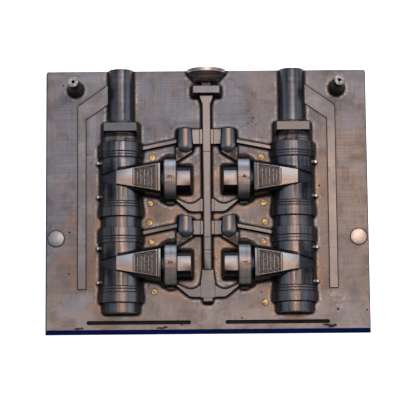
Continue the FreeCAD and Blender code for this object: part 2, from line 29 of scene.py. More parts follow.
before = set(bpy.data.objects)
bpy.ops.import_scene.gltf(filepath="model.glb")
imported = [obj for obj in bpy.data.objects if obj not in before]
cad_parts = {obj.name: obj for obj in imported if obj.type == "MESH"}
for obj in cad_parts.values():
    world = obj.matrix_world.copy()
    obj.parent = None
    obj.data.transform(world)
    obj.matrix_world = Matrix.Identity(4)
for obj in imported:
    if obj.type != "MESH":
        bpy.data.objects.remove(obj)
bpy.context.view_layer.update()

MM = 0.001
FACE = 50 * MM
COLUMN = 174.5 * MM
LEVELS = (38.6 * MM, -134.9 * MM)
SIDES = (-1, 1)
FLAT = FACE + 44.5 * MM
HALF_WIDE, HALF_TALL = 325 * MM, 265 * MM
PIN_X, PIN_Y = 266.9 * MM, 226.6 * MM
PAD_X, PAD_Y = 306.2 * MM, -80 * MM
# half the width of a branch's flat in millimetres: NARROW at its start, START past the axis
NARROW, START, TAPER = 13.0, 8.0, 15 / 88
COLLAR_RADIUS = 47 * MM
COLLAR_NEAR = 88 * MM
COLLAR_FAR = 112.3 * MM
NECK_RADIUS = 42 * MM
SMOOTH_ANGLE = math.radians(28)
BEVEL_ANGLE = math.radians(32)
MERGE_ANGLE = math.radians(0.6)
LINE_HEIGHT = 0.06 * MM


# ---------------------------------------------------------------- node graphs
class Graph:
    """One procedural material, with short calls for the nodes it uses."""

    def __init__(self, name):
        self.material = bpy.data.materials.new(name)
        self.material.use_nodes = True
        self.tree = self.material.node_tree
        self.tree.nodes.clear()
        self.shader = self.tree.nodes.new("ShaderNodeBsdfPrincipled")
        output = self.tree.nodes.new("ShaderNodeOutputMaterial")
        self.tree.links.new(self.shader.outputs[0], output.inputs["Surface"])
        self.place = self.tree.nodes.new("ShaderNodeTexCoord").outputs["Object"]
        split = self.tree.nodes.new("ShaderNodeSeparateXYZ")
        self.feed(split.inputs[0], self.place)
        self.x, self.y, self.z = split.outputs
        normal = self.tree.nodes.new("ShaderNodeNewGeometry").outputs["True Normal"]
        split = self.tree.nodes.new("ShaderNodeSeparateXYZ")
        self.feed(split.inputs[0], normal)
        self.normal_x, self.normal_y, self.up = split.outputs
        self.heights = []
        self.rounded = None

    def feed(self, socket, value):
        if isinstance(value, bpy.types.NodeSocket):
            self.tree.links.new(value, socket)
        elif socket.type == "RGBA" and len(value) == 3:
            socket.default_value = (*value, 1.0)
        else:
            socket.default_value = value

    def math(self, operation, *values):
        node = self.tree.nodes.new("ShaderNodeMath")
        node.operation = operation
        for socket, value in zip(node.inputs, values):
            self.feed(socket, value)
        return node.outputs[0]

    def times(self, first, second):
        return self.math("MULTIPLY", first, second)

    def plus(self, first, second):
        return self.math("ADD", first, second)

    def minus(self, first, second):
        return self.math("SUBTRACT", first, second)

    def without(self, value):
        """1 less the value: the inverse of a mask."""
        return self.math("SUBTRACT", 1.0, value)

    def most(self, first, second):
        return self.math("MAXIMUM", first, second)

    def size(self, value):
        """The value without its sign."""
        return self.math("ABSOLUTE", value)

    def tint(self, colour, mask, strength, tone):
        """The colour, drawn towards a tone by at most the strength where the mask is 1."""
        return self.mix(self.times(mask, strength), colour, tone)

    def step(self, value, low, high, smooth=True):
        """0 at low, 1 at high; low may be the larger of the two."""
        node = self.tree.nodes.new("ShaderNodeMapRange")
        node.interpolation_type = "SMOOTHSTEP" if smooth else "LINEAR"
        node.clamp = True
        for name, item in (("Value", value), ("From Min", low), ("From Max", high)):
            self.feed(node.inputs[name], item)
        return node.outputs[0]

    def between(self, value, low, high, edge):
        """1 between low and high, 0 outside, over a soft edge."""
        rise = self.step(value, low - edge, low + edge)
        return self.times(rise, self.step(value, high + edge, high - edge))

    def mix(self, share, first, second, blend="MIX"):
        node = self.tree.nodes.new("ShaderNodeMix")
        node.data_type = "RGBA"
        node.blend_type = blend
        self.feed(node.inputs[0], share)
        self.feed(node.inputs[6], first)
        self.feed(node.inputs[7], second)
        return node.outputs[2]

    def lerp(self, share, first, second):
        node = self.tree.nodes.new("ShaderNodeMix")
        node.data_type = "FLOAT"
        self.feed(node.inputs[0], share)
        self.feed(node.inputs[2], first)
        self.feed(node.inputs[3], second)
        return node.outputs[0]

    def moved(self, stretch=(1, 1, 1), shift=(0, 0, 0)):
        node = self.tree.nodes.new("ShaderNodeMapping")
        self.feed(node.inputs["Vector"], self.place)
        node.inputs["Scale"].default_value = stretch
        node.inputs["Location"].default_value = shift
        return node.outputs[0]

    def noise(self, scale, detail=3.0, rough=0.55, stretch=(1, 1, 1), shift=(0, 0, 0),
              distortion=0.0):
        node = self.tree.nodes.new("ShaderNodeTexNoise")
        self.feed(node.inputs["Vector"], self.moved(stretch, shift))
        for name, value in (("Scale", scale), ("Detail", detail), ("Roughness", rough),
                            ("Distortion", distortion)):
            node.inputs[name].default_value = value
        return node.outputs[0]

    def spots(self, scale, size, share, shift=(0, 0, 0)):
        """Small round spots: size as a share of the cell, share of the cells that have one."""
        node = self.tree.nodes.new("ShaderNodeTexVoronoi")
        node.inputs["Scale"].default_value = scale
        self.feed(node.inputs["Vector"], self.moved(shift=shift))
        tone = self.tree.nodes.new("ShaderNodeSeparateColor")
        self.feed(tone.inputs[0], node.outputs["Color"])
        chosen = self.math("LESS_THAN", tone.outputs[0], share)
        grown = self.times(tone.outputs[1], size)
        inside = self.step(self.minus(node.outputs["Distance"], grown), 0.04, -0.04)
        return self.times(chosen, inside)

    def blob(self, x, y, wide, tall, ragged, scale=60):
        """An irregular stain round one place on the plate, in millimetres."""
        across = self.math("DIVIDE", self.minus(self.x, x * MM), wide * MM)
        along = self.math("DIVIDE", self.minus(self.y, y * MM), tall * MM)
        far = self.plus(self.times(across, across), self.times(along, along))
        grain = self.minus(self.noise(scale, 4, 0.65), 0.5)
        far = self.plus(far, self.times(grain, ragged))
        return self.step(far, 1.0 + 0.1 * ragged, 0.9 - 0.25 * ragged)

    def openness(self, distance):
        """1 on an open surface, falling towards a wall that is nearer than the distance."""
        node = self.tree.nodes.new("ShaderNodeAmbientOcclusion")
        node.samples = 8
        node.inputs["Distance"].default_value = distance
        return node.outputs["AO"]

    def edges(self, radius):
        """1 along sharp edges, from a rounded normal against the true one; rounds them too."""
        bevel = self.tree.nodes.new("ShaderNodeBevel")
        bevel.samples = 4
        bevel.inputs["Radius"].default_value = radius
        true = self.tree.nodes.new("ShaderNodeNewGeometry").outputs["Normal"]
        dot = self.tree.nodes.new("ShaderNodeVectorMath")
        dot.operation = "DOT_PRODUCT"
        self.feed(dot.inputs[0], bevel.outputs[0])
        self.feed(dot.inputs[1], true)
        self.rounded = bevel.outputs[0]
        return self.step(dot.outputs["Value"], 0.99, 0.86)

    def relief(self, height, strength, distance):
        self.heights.append((height, strength, distance))

    def finish(self, colour, metallic, roughness, specular=0.5):
        self.feed(self.shader.inputs["Base Color"], colour)
        self.feed(self.shader.inputs["Metallic"], metallic)
        self.feed(self.shader.inputs["Roughness"], roughness)
        self.shader.inputs["Specular IOR Level"].default_value = specular
        normal = self.rounded
        for height, strength, distance in self.heights:
            bump = self.tree.nodes.new("ShaderNodeBump")
            bump.inputs["Strength"].default_value = strength
            bump.inputs["Distance"].default_value = distance
            self.feed(bump.inputs["Height"], height)
            if normal is not None:
                self.feed(bump.inputs["Normal"], normal)
            normal = bump.outputs[0]
        if normal is not None:
            self.feed(self.shader.inputs["Normal"], normal)
        return self.material


# ---------------------------------------------------------------- materials
def plate_material():
    """Milled iron face with stains, pits and pale halos, painted cool and warm light, a painted
    warm glow and painted shade in creases and sunk slots; navy paint on the sides and back.
    """
    g = Graph("plate_iron")
    blotch = g.noise(6, 5, 0.62, distortion=0.3)
    patch = g.noise(19, 5, 0.65, shift=(3, 7, 0), distortion=0.5)
    # painted cool light on the top and left of the face, broken up by blotches
    cool = g.plus(g.times(g.x, -1.2), g.times(g.y, 1.7))
    cool = g.most(cool, g.step(g.y, 0.10, 0.22))
    cool = g.step(g.plus(cool, g.times(blotch, 1.6)), 0.45, 1.25)
    colour = g.mix(cool, (0.112, 0.079, 0.062), (0.100, 0.103, 0.121))
    # painted warm light on the lower right of the face
    painted_warm_pool = g.step(g.plus(g.x, g.times(blotch, 0.12)), 0.14, 0.38)
    painted_warm_pool = g.times(painted_warm_pool, g.step(g.y, 0.20, 0.08))
    colour = g.tint(colour, painted_warm_pool, 0.8, (0.150, 0.116, 0.098))
    bands = g.noise(1, 3, 0.6, stretch=(26, 2.2, 1), shift=(6, 1, 0))
    colour = g.tint(colour, g.step(bands, 0.48, 0.62), 0.40, (0.140, 0.100, 0.078))
    colour = g.tint(colour, g.step(bands, 0.46, 0.34), 0.45, (0.100, 0.106, 0.126))
    # painted light: the face lighter towards its bottom edge
    painted_light_low_edge = g.step(g.y, -0.17, -0.24)
    colour = g.tint(colour, painted_light_low_edge, 0.75, (0.192, 0.162, 0.148))
    colour = g.tint(colour, g.step(patch, 0.44, 0.66), 0.46, (0.045, 0.037, 0.034))
    pale = g.noise(11, 5, 0.66, shift=(9, 2, 0), distortion=0.6)
    colour = g.tint(colour, g.step(pale, 0.50, 0.68), 0.42, (0.165, 0.158, 0.168))
    rusty = g.times(g.step(g.noise(13, 5, 0.7, shift=(1, 8, 0)), 0.50, 0.68),
                    g.step(g.y, 0.16, 0.02))
    colour = g.tint(colour, rusty, 0.45, (0.150, 0.078, 0.046))
    grid = g.lerp(g.step(g.y, -0.02, -0.14), 1.0, 0.55)
    lines = g.noise(1, 2, 0.6, stretch=(9, 1500, 1))
    across = g.noise(1, 3, 0.6, stretch=(700, 12, 1), shift=(3, 1, 0))
    colour = g.tint(colour, g.step(lines, 0.60, 0.36), g.times(grid, 0.32), (0.030, 0.026, 0.025))
    colour = g.tint(colour, g.step(lines, 0.58, 0.76), 0.26, (0.215, 0.190, 0.180))
    colour = g.tint(colour, g.step(across, 0.50, 0.74), g.times(grid, 0.28), (0.215, 0.185, 0.170))
    colour = g.tint(colour, g.step(across, 0.42, 0.24), 0.35, (0.036, 0.030, 0.028))
    lilac = (0.140, 0.145, 0.170)
    for x, y, wide, tall in ((-274, -212, 30, 20), (-246, -200, 17, 13), (-288, -236, 17, 12),
                             (-306, 254, 26, 7), (-240, 249, 30, 9), (-232, 140, 9, 50)):
        colour = g.tint(colour, g.blob(x, y, wide, tall, 3.0, 34), 0.5, lilac)
    scuffed = g.most(g.blob(262, -201, 24, 15, 4.0), g.blob(262, -224, 14, 13, 4.0))
    scuffed = g.times(scuffed, g.step(g.noise(120, 4, 0.75), 0.46, 0.60))
    colour = g.tint(colour, scuffed, 0.5, (0.30, 0.29, 0.31))
    stain = g.step(g.noise(34, 6, 0.7, shift=(2, 5, 0), distortion=0.8), 0.57, 0.72)
    colour = g.tint(colour, stain, 0.5, (0.062, 0.036, 0.024))
    near, close, around = g.openness(11 * MM), g.openness(7 * MM), g.openness(24 * MM)
    # painted warm glow on the lower face beside the patterns
    painted_glow = g.times(g.step(around, 0.97, 0.86),
                   g.step(g.noise(17, 4, 0.65, shift=(3, 3, 7)), 0.44, 0.62))
    painted_glow = g.times(painted_glow, g.step(g.y, 0.10, 0.04))
    colour = g.tint(colour, painted_glow, 0.5, (0.205, 0.108, 0.056))
    speckled = g.times(g.step(g.noise(230, 4, 0.7), 0.40, 0.62),
                       g.step(g.noise(21, 3), 0.36, 0.60))
    halo = g.times(g.step(near, 0.965, 0.90), g.step(close, 0.92, 0.98))
    halo = g.times(halo, speckled)
    colour = g.tint(colour, halo, 0.85, (0.330, 0.300, 0.295))
    # painted shade: near-black creases at the foot of every wall, narrower beside the runner
    central = g.step(g.size(g.x), 27 * MM, 20 * MM)
    crease_shade = g.step(g.plus(close, g.times(central, 0.06)), 0.925, 0.81)
    colour = g.tint(colour, crease_shade, 0.95, (0.007, 0.006, 0.006))
    pits = g.spots(75, 0.17, 0.10)
    fine_pits = g.spots(260, 0.20, 0.10, shift=(1, 2, 3))
    pitted = g.most(pits, g.times(fine_pits, 0.8))
    for x, y, wide, tall in ((-261, -262.5, 9, 2.4), (-253, -262, 3, 2.6), (-95, -262.5, 10, 2.2),
                             (-86, -260.5, 5, 2.6), (238, -258, 10, 2.2), (247, -261, 9, 3.4),
                             (255, -259, 3, 3.6), (-71.3, 146, 1.5, 1.5), (85, 180, 1.7, 1.5),
                             (85, 155, 1.6, 1.6), (95, 166, 2.1, 1.7), (93, 158, 1.2, 1.4),
                             (-280, -151.6, 2.1, 1.7), (261, -227, 2.6, 2.8), (243, -152, 1.5, 1.7),
                             (101, 152, 2.4, 1.1), (88, 167, 1.2, 1.1)):
        pitted = g.most(pitted, g.blob(x, y, wide, tall, 3.2, 330))
    colour = g.tint(colour, pitted, 0.85, (0.014, 0.012, 0.012))
    rim = g.most(g.step(g.size(g.x), 0.305, 0.326), g.step(g.size(g.y), 0.250, 0.266))
    worn = g.times(rim, g.step(g.noise(45, 4, 0.7), 0.45, 0.66))
    colour = g.tint(colour, worn, 0.4, (0.036, 0.029, 0.027))

    painted = g.most(g.step(g.size(g.x), HALF_WIDE + 0.02 * MM, HALF_WIDE + 0.15 * MM),
                     g.step(g.size(g.y), HALF_TALL + 0.02 * MM, HALF_TALL + 0.15 * MM))
    painted = g.most(painted, g.step(g.z, 42 * MM, 41 * MM))
    on_top = g.without(painted)
    # painted shade in the sunk slots and grooves: near-black, a little lighter on the floors low on
    # the plate
    sunk = g.step(g.z, 49.7 * MM, 49.2 * MM)
    groove_shade = g.mix(g.times(g.step(g.up, 0.8, 0.95), g.step(g.y, -0.24, -0.245)),
                   (0.004, 0.004, 0.004), (0.013, 0.012, 0.011))
    colour = g.tint(colour, sunk, 0.95, groove_shade)
    paint = g.mix(g.step(g.noise(30, 4), 0.35, 0.7), (0.0026, 0.0058, 0.047),
                  (0.0040, 0.0090, 0.068))
    rough_paint = g.noise(420, 2, 0.5)
    near_face = g.step(g.z, 40 * MM, 49 * MM)
    chip = g.step(g.noise(95, 4, 0.75, shift=(4, 4, 1)), 0.68, 0.70)
    chip = g.times(chip, g.lerp(near_face, 0.3, 1.0))
    chip_edge = g.times(g.step(g.noise(150, 3, 0.7), 0.56, 0.62),
                        g.step(g.z, 48.4 * MM, 49.9 * MM))
    chip = g.most(chip, chip_edge)
    under = g.mix(g.times(chip, 0.7), paint, (0.11, 0.09, 0.085))
    colour = g.mix(on_top, under, colour)
    metallic = g.lerp(on_top, 0.0, g.minus(0.62, g.times(sunk, 0.6)))
    shine = g.lerp(g.noise(18, 4, 0.6), 0.36, 0.56)
    roughness = g.lerp(on_top, g.lerp(chip, 0.55, 0.7), g.lerp(pitted, shine, 0.9))
    g.relief(lines, 0.16, 0.10 * MM)
    g.relief(g.without(pitted), 0.5, 0.35 * MM)
    g.relief(g.times(rough_paint, g.without(on_top)), 0.25, 0.12 * MM)
    return g.finish(colour, metallic, roughness, specular=0.0)


def from_axis(g):
    """Distance up the plate from the axis of the nearer branch."""
    lower = g.step(g.y, -48.2 * MM, -48.1 * MM)
    return g.minus(g.y, g.lerp(lower, LEVELS[1], LEVELS[0]))


def pattern_material():
    """Turned steel, dark with use: rings round the columns, brushed flats and collars; painted
    highlights on crests, flats and collars, and painted shade in creases, at the feet and on steep
    sides.
    """
    g = Graph("pattern_steel")
    rings = g.noise(1, 3, 0.6, stretch=(2, 900, 2))
    broad = g.noise(1, 3, 0.6, stretch=(3, 130, 3), shift=(7, 0, 0))
    cloud = g.noise(22, 5, 0.62, distortion=0.4)
    colour = g.mix(g.step(cloud, 0.3, 0.72), (0.034, 0.034, 0.040), (0.066, 0.064, 0.070))
    colour = g.tint(colour, g.step(broad, 0.42, 0.75), 0.5, (0.100, 0.096, 0.098))
    colour = g.tint(colour, g.step(rings, 0.5, 0.8), 0.35, (0.012, 0.012, 0.015))
    rust = g.step(g.noise(30, 5, 0.65, shift=(4, 1, 2)), 0.55, 0.75)
    colour = g.tint(colour, rust, 0.5, (0.062, 0.040, 0.030))
    out = g.size(g.x)
    up = from_axis(g)
    drawn = g.noise(1, 4, 0.62, stretch=(240, 5, 240), shift=(2, 6, 1))
    # drawn streaks along the runs: partly real marks, partly painted reflections
    colour = g.tint(colour, g.step(drawn, 0.50, 0.36), 0.7, (0.016, 0.017, 0.022))
    colour = g.tint(colour, g.step(drawn, 0.56, 0.72), 0.55, (0.135, 0.130, 0.145))
    # painted sheen: inner flank of each column lighter
    painted_inner_sheen = g.times(g.step(out, COLUMN - 8 * MM, COLUMN - 16 * MM), 0.36)
    painted_inner_sheen = g.times(painted_inner_sheen, g.step(out, COLUMN - 52 * MM, COLUMN - 46 * MM))
    colour = g.mix(painted_inner_sheen, colour, (0.118, 0.121, 0.138))
    # painted warm highlight along the crests of the lower columns
    crest = g.between(out, COLUMN - 14 * MM, COLUMN + 12 * MM, 9 * MM)
    painted_crest_highlight = g.times(crest, g.step(g.plus(g.y, g.times(cloud, 0.2)), 0.16, 0.02))
    colour = g.tint(colour, painted_crest_highlight, 0.55, (0.120, 0.080, 0.060))

    # painted shade on the side away from the light, and a painted highlight just past the crest
    place = g.minus(g.x, g.lerp(g.step(g.x, -1 * MM, 1 * MM), 5 * MM - COLUMN, COLUMN))
    painted_light_gain = g.without(g.times(g.step(place, -19 * MM, -25 * MM), 0.32))
    for low, high, share in ((-18, -13, 0.18), (-9, -3, -0.12), (3, 16, 0.22)):
        painted_light_gain = g.plus(painted_light_gain, g.times(g.between(place, low * MM, high * MM, 3 * MM), share))
    painted_light_gain = g.minus(painted_light_gain, g.times(g.step(place, 19 * MM, 28 * MM), 0.30))
    colour = g.mix(1.0, colour, painted_light_gain, blend="MULTIPLY")

    # keyed core prints: a streaked brown tone, with a painted shadow just below the key block
    keyed = g.between(g.y, LEVELS[0] + 73.4 * MM, LEVELS[0] + 92 * MM, 1 * MM)
    keyed_tone = g.mix(g.step(g.noise(1, 4, 0.65, stretch=(24, 420, 24)), 0.42, 0.64),
                       (0.050, 0.040, 0.036), (0.215, 0.160, 0.138))
    # painted shadow: near-black band just below the key block
    keyed_tone = g.mix(g.step(g.y, LEVELS[0] + 83.5 * MM, LEVELS[0] + 87 * MM), keyed_tone,
                       (0.008, 0.007, 0.007))
    colour = g.tint(colour, keyed, 0.9, keyed_tone)
    level_up = g.step(g.up, 0.985, 0.995)

    # branch core prints: round sides painted near-black as painted shade
    prints = g.times(g.step(out, 62.3 * MM, 62.1 * MM), g.step(g.z, 50 * MM, 51 * MM))
    colour = g.tint(colour, prints, 0.8, (0.010, 0.009, 0.009))

    # steep sides of the branches: painted shade, darkest low down
    flank_shade = g.times(g.step(g.size(g.normal_y), 0.93, 0.98),
                    g.between(out, 94 * MM, 190 * MM, 0.5 * MM))
    colour = g.tint(colour, flank_shade, 0.85, g.mix(g.step(g.z, 76 * MM, 92 * MM), (0.008, 0.007, 0.007),
                                               (0.046, 0.036, 0.030)))
    # painted shadow: dark bands on the runs along the edges of the branch flats, wider and darker
    # above them
    half = g.minus(NARROW * MM + (COLUMN + START * MM) * TAPER, g.times(out, TAPER))
    beside = g.minus(g.size(up), half)
    above = g.step(up, -1 * MM, 1 * MM)
    reach = g.lerp(above, 4.2 * MM, 7.0 * MM)
    beside = g.times(g.step(beside, -0.4 * MM, 0.1 * MM),
                     g.step(g.minus(beside, reach), 0.9 * MM, -0.9 * MM))
    beside = g.times(beside, g.between(out, COLUMN - 85 * MM, COLUMN + 6 * MM, 3 * MM))
    beside = g.times(beside, g.step(g.z, FLAT - 0.2 * MM, FLAT - 0.6 * MM))
    colour = g.tint(colour, beside, g.lerp(above, 0.8, 0.97),
                    g.mix(above, (0.014, 0.010, 0.007), (0.002, 0.002, 0.002)))
    # painted shade on the steep ramp faces on the outer side of the columns
    ramp_shade = g.times(g.between(out, 183 * MM, 232 * MM, 1.5 * MM),
                   g.step(g.size(up), 24 * MM, 22 * MM))
    ramp_shade = g.times(ramp_shade, g.step(g.up, 0.90, 0.86))
    colour = g.tint(colour, ramp_shade, 0.8, (0.014, 0.014, 0.021))

    # painted highlight on the tops of the small outer tabs
    lit_tab_tops = g.times(g.step(out, COLUMN + 44.2 * MM, COLUMN + 44.8 * MM), g.step(g.up, 0.7, 0.95))
    colour = g.mix(lit_tab_tops, colour, (0.20, 0.192, 0.192))

    # collars, with painted light and shade: cool above, warm across the crest, brightest just below
    # it, darker further down and near-black at the upper end, with fine turned rings
    collar = g.between(out, COLUMN - COLLAR_FAR, COLUMN - COLLAR_NEAR, 0.4 * MM)
    collar_rings = g.noise(1, 3, 0.6, stretch=(1400, 6, 6))
    tone = g.mix(g.step(up, -3 * MM, 25 * MM, smooth=False), (0.120, 0.078, 0.061),
                 (0.295, 0.297, 0.325))
    tone = g.mix(g.step(up, -3 * MM, -22 * MM, smooth=False), tone, (0.50, 0.40, 0.355))
    tone = g.mix(g.step(up, -24 * MM, -36 * MM), tone, (0.14, 0.14, 0.135))
    tone = g.mix(g.step(up, 35 * MM, 39 * MM), tone, (0.016, 0.016, 0.018))
    tone = g.tint(tone, g.step(collar_rings, 0.42, 0.75), 0.5, (0.030, 0.024, 0.022))
    tone = g.tint(tone, g.step(collar_rings, 0.40, 0.22), 0.5, (0.30, 0.28, 0.28))
    collar = g.times(collar, g.step(g.z, FACE + 6 * MM, FACE + 14 * MM))
    colour = g.mix(collar, colour, tone)
    # painted shade along both edges of each collar
    shaded_rims = g.size(g.minus(out, COLUMN - (COLLAR_NEAR + COLLAR_FAR) / 2))
    shaded_rims = g.between(shaded_rims, 10.6 * MM, 12.3 * MM, 0.5 * MM)
    colour = g.tint(colour, shaded_rims, 0.6, (0.020, 0.019, 0.021))
    # painted shade: the lugs at the ends of each collar near-black
    lug_shade = g.times(g.step(g.size(up), 41.5 * MM, 42.5 * MM),
                   g.between(out, COLUMN - 114 * MM, COLUMN - 86 * MM, 0.5 * MM))
    colour = g.tint(colour, lug_shade, 0.92, (0.010, 0.010, 0.010))

    # milled flats of branches and prints, with painted light: cool above, warm below
    flat = g.between(g.z, 94.25 * MM, 94.75 * MM, 0.06 * MM)
    print_flat = g.times(g.between(g.z, 76.8 * MM, 77.2 * MM, 0.06 * MM),
                         g.step(out, 70 * MM, 68 * MM))
    flats = g.times(level_up, g.most(flat, print_flat))
    brushed = g.noise(1, 3, 0.6, stretch=(1300, 12, 12), shift=(0, 3, 0))
    streak = g.noise(1, 4, 0.6, stretch=(30, 300, 12), shift=(0, 3, 0))
    flat_tone = g.mix(g.step(up, -10 * MM, 12 * MM), (0.150, 0.112, 0.094),
                      (0.168, 0.172, 0.186))
    flat_tone = g.tint(flat_tone, g.step(brushed, 0.45, 0.8), 0.35, (0.075, 0.068, 0.066))
    flat_tone = g.tint(flat_tone, g.step(streak, 0.5, 0.75), 0.35, (0.24, 0.22, 0.215))
    colour = g.mix(flats, colour, flat_tone)
    key = g.times(level_up, g.step(g.z, 97.85 * MM, 97.95 * MM))
    key_tone = g.mix(g.step(g.noise(60, 4), 0.35, 0.7), (0.082, 0.082, 0.094),
                     (0.108, 0.104, 0.114))
    # painted warm light on the right-hand key blocks
    key_tone = g.tint(key_tone, g.step(g.x, -0.05, 0.05), 0.75, (0.190, 0.150, 0.132))
    colour = g.mix(key, colour, key_tone)

    # panels: a stained field inside the frames, and the frames themselves
    panel = g.times(g.between(g.z, 93.6 * MM, 94.2 * MM, 0.05 * MM), level_up)
    panel = g.times(panel, g.between(out, 100 * MM, 147 * MM, 0.5 * MM))
    grain = g.noise(240, 4, 0.7)
    colour = g.mix(panel, colour, g.mix(g.step(grain, 0.35, 0.7), (0.040, 0.033, 0.030),
                                        (0.104, 0.085, 0.077)))
    raised = g.times(g.step(g.z, 94.56 * MM, 94.62 * MM), g.step(g.z, 96 * MM, 95.9 * MM))
    raised = g.times(raised, g.between(out, 96 * MM, 148 * MM, 0.5 * MM))
    colour = g.tint(colour, raised, 0.9, g.mix(g.step(grain, 0.35, 0.7), (0.080, 0.069, 0.066),
                                               (0.160, 0.142, 0.134)))

    # painted shade: near-black creases where walls meet
    opened = g.openness(5 * MM)
    crease_shade = g.step(opened, 0.80, 0.62)
    colour = g.tint(colour, crease_shade, 0.95, (0.003, 0.003, 0.004))
    # painted shade: darker towards the foot of every pattern
    foot_shade = g.step(g.z, FACE + 14 * MM, FACE + 1 * MM)
    colour = g.tint(colour, foot_shade, 0.7, (0.006, 0.0055, 0.006))
    scuff = g.step(g.noise(1, 4, 0.7, stretch=(60, 260, 60), shift=(5, 2, 8)), 0.66, 0.74)
    colour = g.tint(colour, scuff, 0.3, (0.17, 0.155, 0.15))
    pits = g.spots(210, 0.16, 0.05)
    colour = g.tint(colour, pits, 0.8, (0.005, 0.005, 0.005))
    # lighter along sharp edges: partly wear, partly a painted glint
    edge = g.edges(0.8 * MM)
    worn = g.times(edge, g.step(g.noise(70, 3, 0.6), 0.25, 0.6))
    colour = g.tint(colour, worn, 0.6, (0.23, 0.215, 0.215))
    soft = g.most(collar, flats)
    roughness = g.lerp(g.step(cloud, 0.25, 0.75), 0.26, 0.36)
    roughness = g.lerp(soft, roughness, g.lerp(g.noise(30, 3), 0.36, 0.50))
    roughness = g.lerp(g.most(panel, key), roughness, 0.6)
    g.relief(rings, 0.10, 0.06 * MM)
    g.relief(g.times(drawn, g.without(soft)), 0.35, 0.5 * MM)
    return g.finish(colour, 0.93, roughness)


def gating_material():
    """Milled gating: worn tops lighter towards the top of the plate as a painted highlight,
    near-black drafted sides as painted shade, darker bulbs and basin, and painted shade in creases.
    """
    g = Graph("gating_steel")
    top = g.step(g.up, 0.80, 0.97)
    cloud = g.noise(30, 4, 0.6)
    brushed = g.noise(1, 3, 0.6, stretch=(900, 20, 20))
    # painted highlight: tops lighter towards the top of the plate
    bright = g.step(g.plus(g.y, g.times(cloud, 0.06)), -0.14, 0.22)
    tone = g.mix(bright, (0.061, 0.057, 0.058), (0.091, 0.083, 0.081))
    tone = g.tint(tone, g.step(cloud, 0.42, 0.72), 0.5, (0.128, 0.103, 0.092))
    tone = g.tint(tone, g.step(brushed, 0.5, 0.8), 0.3, (0.030, 0.027, 0.026))
    # painted shade: drafted sides near-black
    side = g.mix(g.step(g.noise(60, 3), 0.4, 0.7), (0.007, 0.0065, 0.008),
                 (0.020, 0.018, 0.020))
    colour = g.mix(top, side, tone)
    out = g.size(g.x)
    middle = g.step(g.y, -147 * MM, -161 * MM, smooth=False)
    limit = g.lerp(g.step(g.y, 120 * MM, 20 * MM), 6.6 * MM, 5.5 * MM)
    limit = g.plus(limit, g.times(middle, 5.2 * MM))
    # painted shade: dark rims along the edges of the runner's top
    shaded_rims = g.step(g.minus(out, limit), -0.2 * MM, 0.6 * MM)
    shaded_rims = g.times(shaded_rims, g.step(out, 11.6 * MM, 11.4 * MM))
    shaded_rims = g.times(shaded_rims, g.between(g.y, -161 * MM, 196 * MM, 0.5 * MM))
    shaded_rims = g.times(shaded_rims, g.step(g.z, FACE + 11.2 * MM, FACE + 11.8 * MM))
    colour = g.tint(colour, shaded_rims, 0.85, (0.010, 0.009, 0.009))
    # web tops painted dark as painted shade, with mottled painted highlights
    shaded_webs = g.times(g.between(g.z, FACE + 11.6 * MM, FACE + 12.1 * MM, 0.1 * MM), top)
    colour = g.mix(shaded_webs, colour, g.mix(g.step(g.noise(75, 4, 0.7), 0.48, 0.66),
                                       (0.014, 0.012, 0.011), (0.062, 0.052, 0.047)))
    bulb = g.times(g.step(g.z, FACE + 12.2 * MM, FACE + 12.8 * MM),
                   g.between(out, 23 * MM, 64 * MM, 0.5 * MM))
    # bulbs: a cool tone with a painted warm highlight on the crest and painted shade on the steep
    # sides
    dark = g.mix(g.step(cloud, 0.35, 0.7), (0.098, 0.104, 0.128), (0.130, 0.132, 0.150))
    dark = g.mix(g.step(g.up, 0.86, 0.97), dark, (0.104, 0.084, 0.075))
    dark = g.mix(g.step(g.up, 0.62, 0.40), dark, (0.020, 0.021, 0.026))
    colour = g.mix(bulb, colour, dark)
    # painted shade: near-black in the neck between the sprue block and the basin
    neck_shade = g.between(g.y, 234.3 * MM, 238.4 * MM, 0.3 * MM)
    colour = g.mix(neck_shade, colour, (0.020, 0.017, 0.016))
    basin = g.step(g.y, 238.5 * MM, 238.8 * MM)
    # basin: brown streaks, partly painted highlights; faces turned up the plate darker as painted
    # shade
    streaks = g.noise(1, 4, 0.65, stretch=(5, 260, 60), shift=(1, 0, 2))
    funnel = g.mix(g.step(streaks, 0.35, 0.68), (0.090, 0.078, 0.074), (0.36, 0.27, 0.225))
    funnel = g.mix(g.step(g.normal_y, 0.5, 0.9), funnel, (0.060, 0.054, 0.052))
    colour = g.mix(basin, colour, funnel)
    block = g.times(g.step(g.z, FACE + 24 * MM, FACE + 26 * MM),
                    g.between(g.y, 206 * MM, 235 * MM, 0.5 * MM))
    colour = g.mix(block, colour, g.mix(g.step(cloud, 0.3, 0.7), (0.058, 0.058, 0.068),
                                        (0.092, 0.090, 0.100)))
    # painted shade: near-black creases where walls meet
    opened = g.openness(4 * MM)
    colour = g.tint(colour, g.step(opened, 0.68, 0.46), 0.85, (0.004, 0.004, 0.004))
    pits = g.spots(230, 0.18, 0.05)
    colour = g.tint(colour, pits, 0.8, (0.006, 0.005, 0.005))
    # lighter along sharp edges: partly wear, partly a painted glint
    edge = g.edges(0.7 * MM)
    worn = g.times(edge, g.step(g.noise(80, 3, 0.6), 0.3, 0.65))
    colour = g.tint(colour, worn, 0.4, (0.20, 0.175, 0.165))
    roughness = g.lerp(cloud, 0.28, 0.48)
    roughness = g.lerp(bulb, roughness, 0.36)
    g.relief(brushed, 0.10, 0.08 * MM)
    g.relief(cloud, 0.08, 0.3 * MM)
    return g.finish(colour, 0.90, roughness)


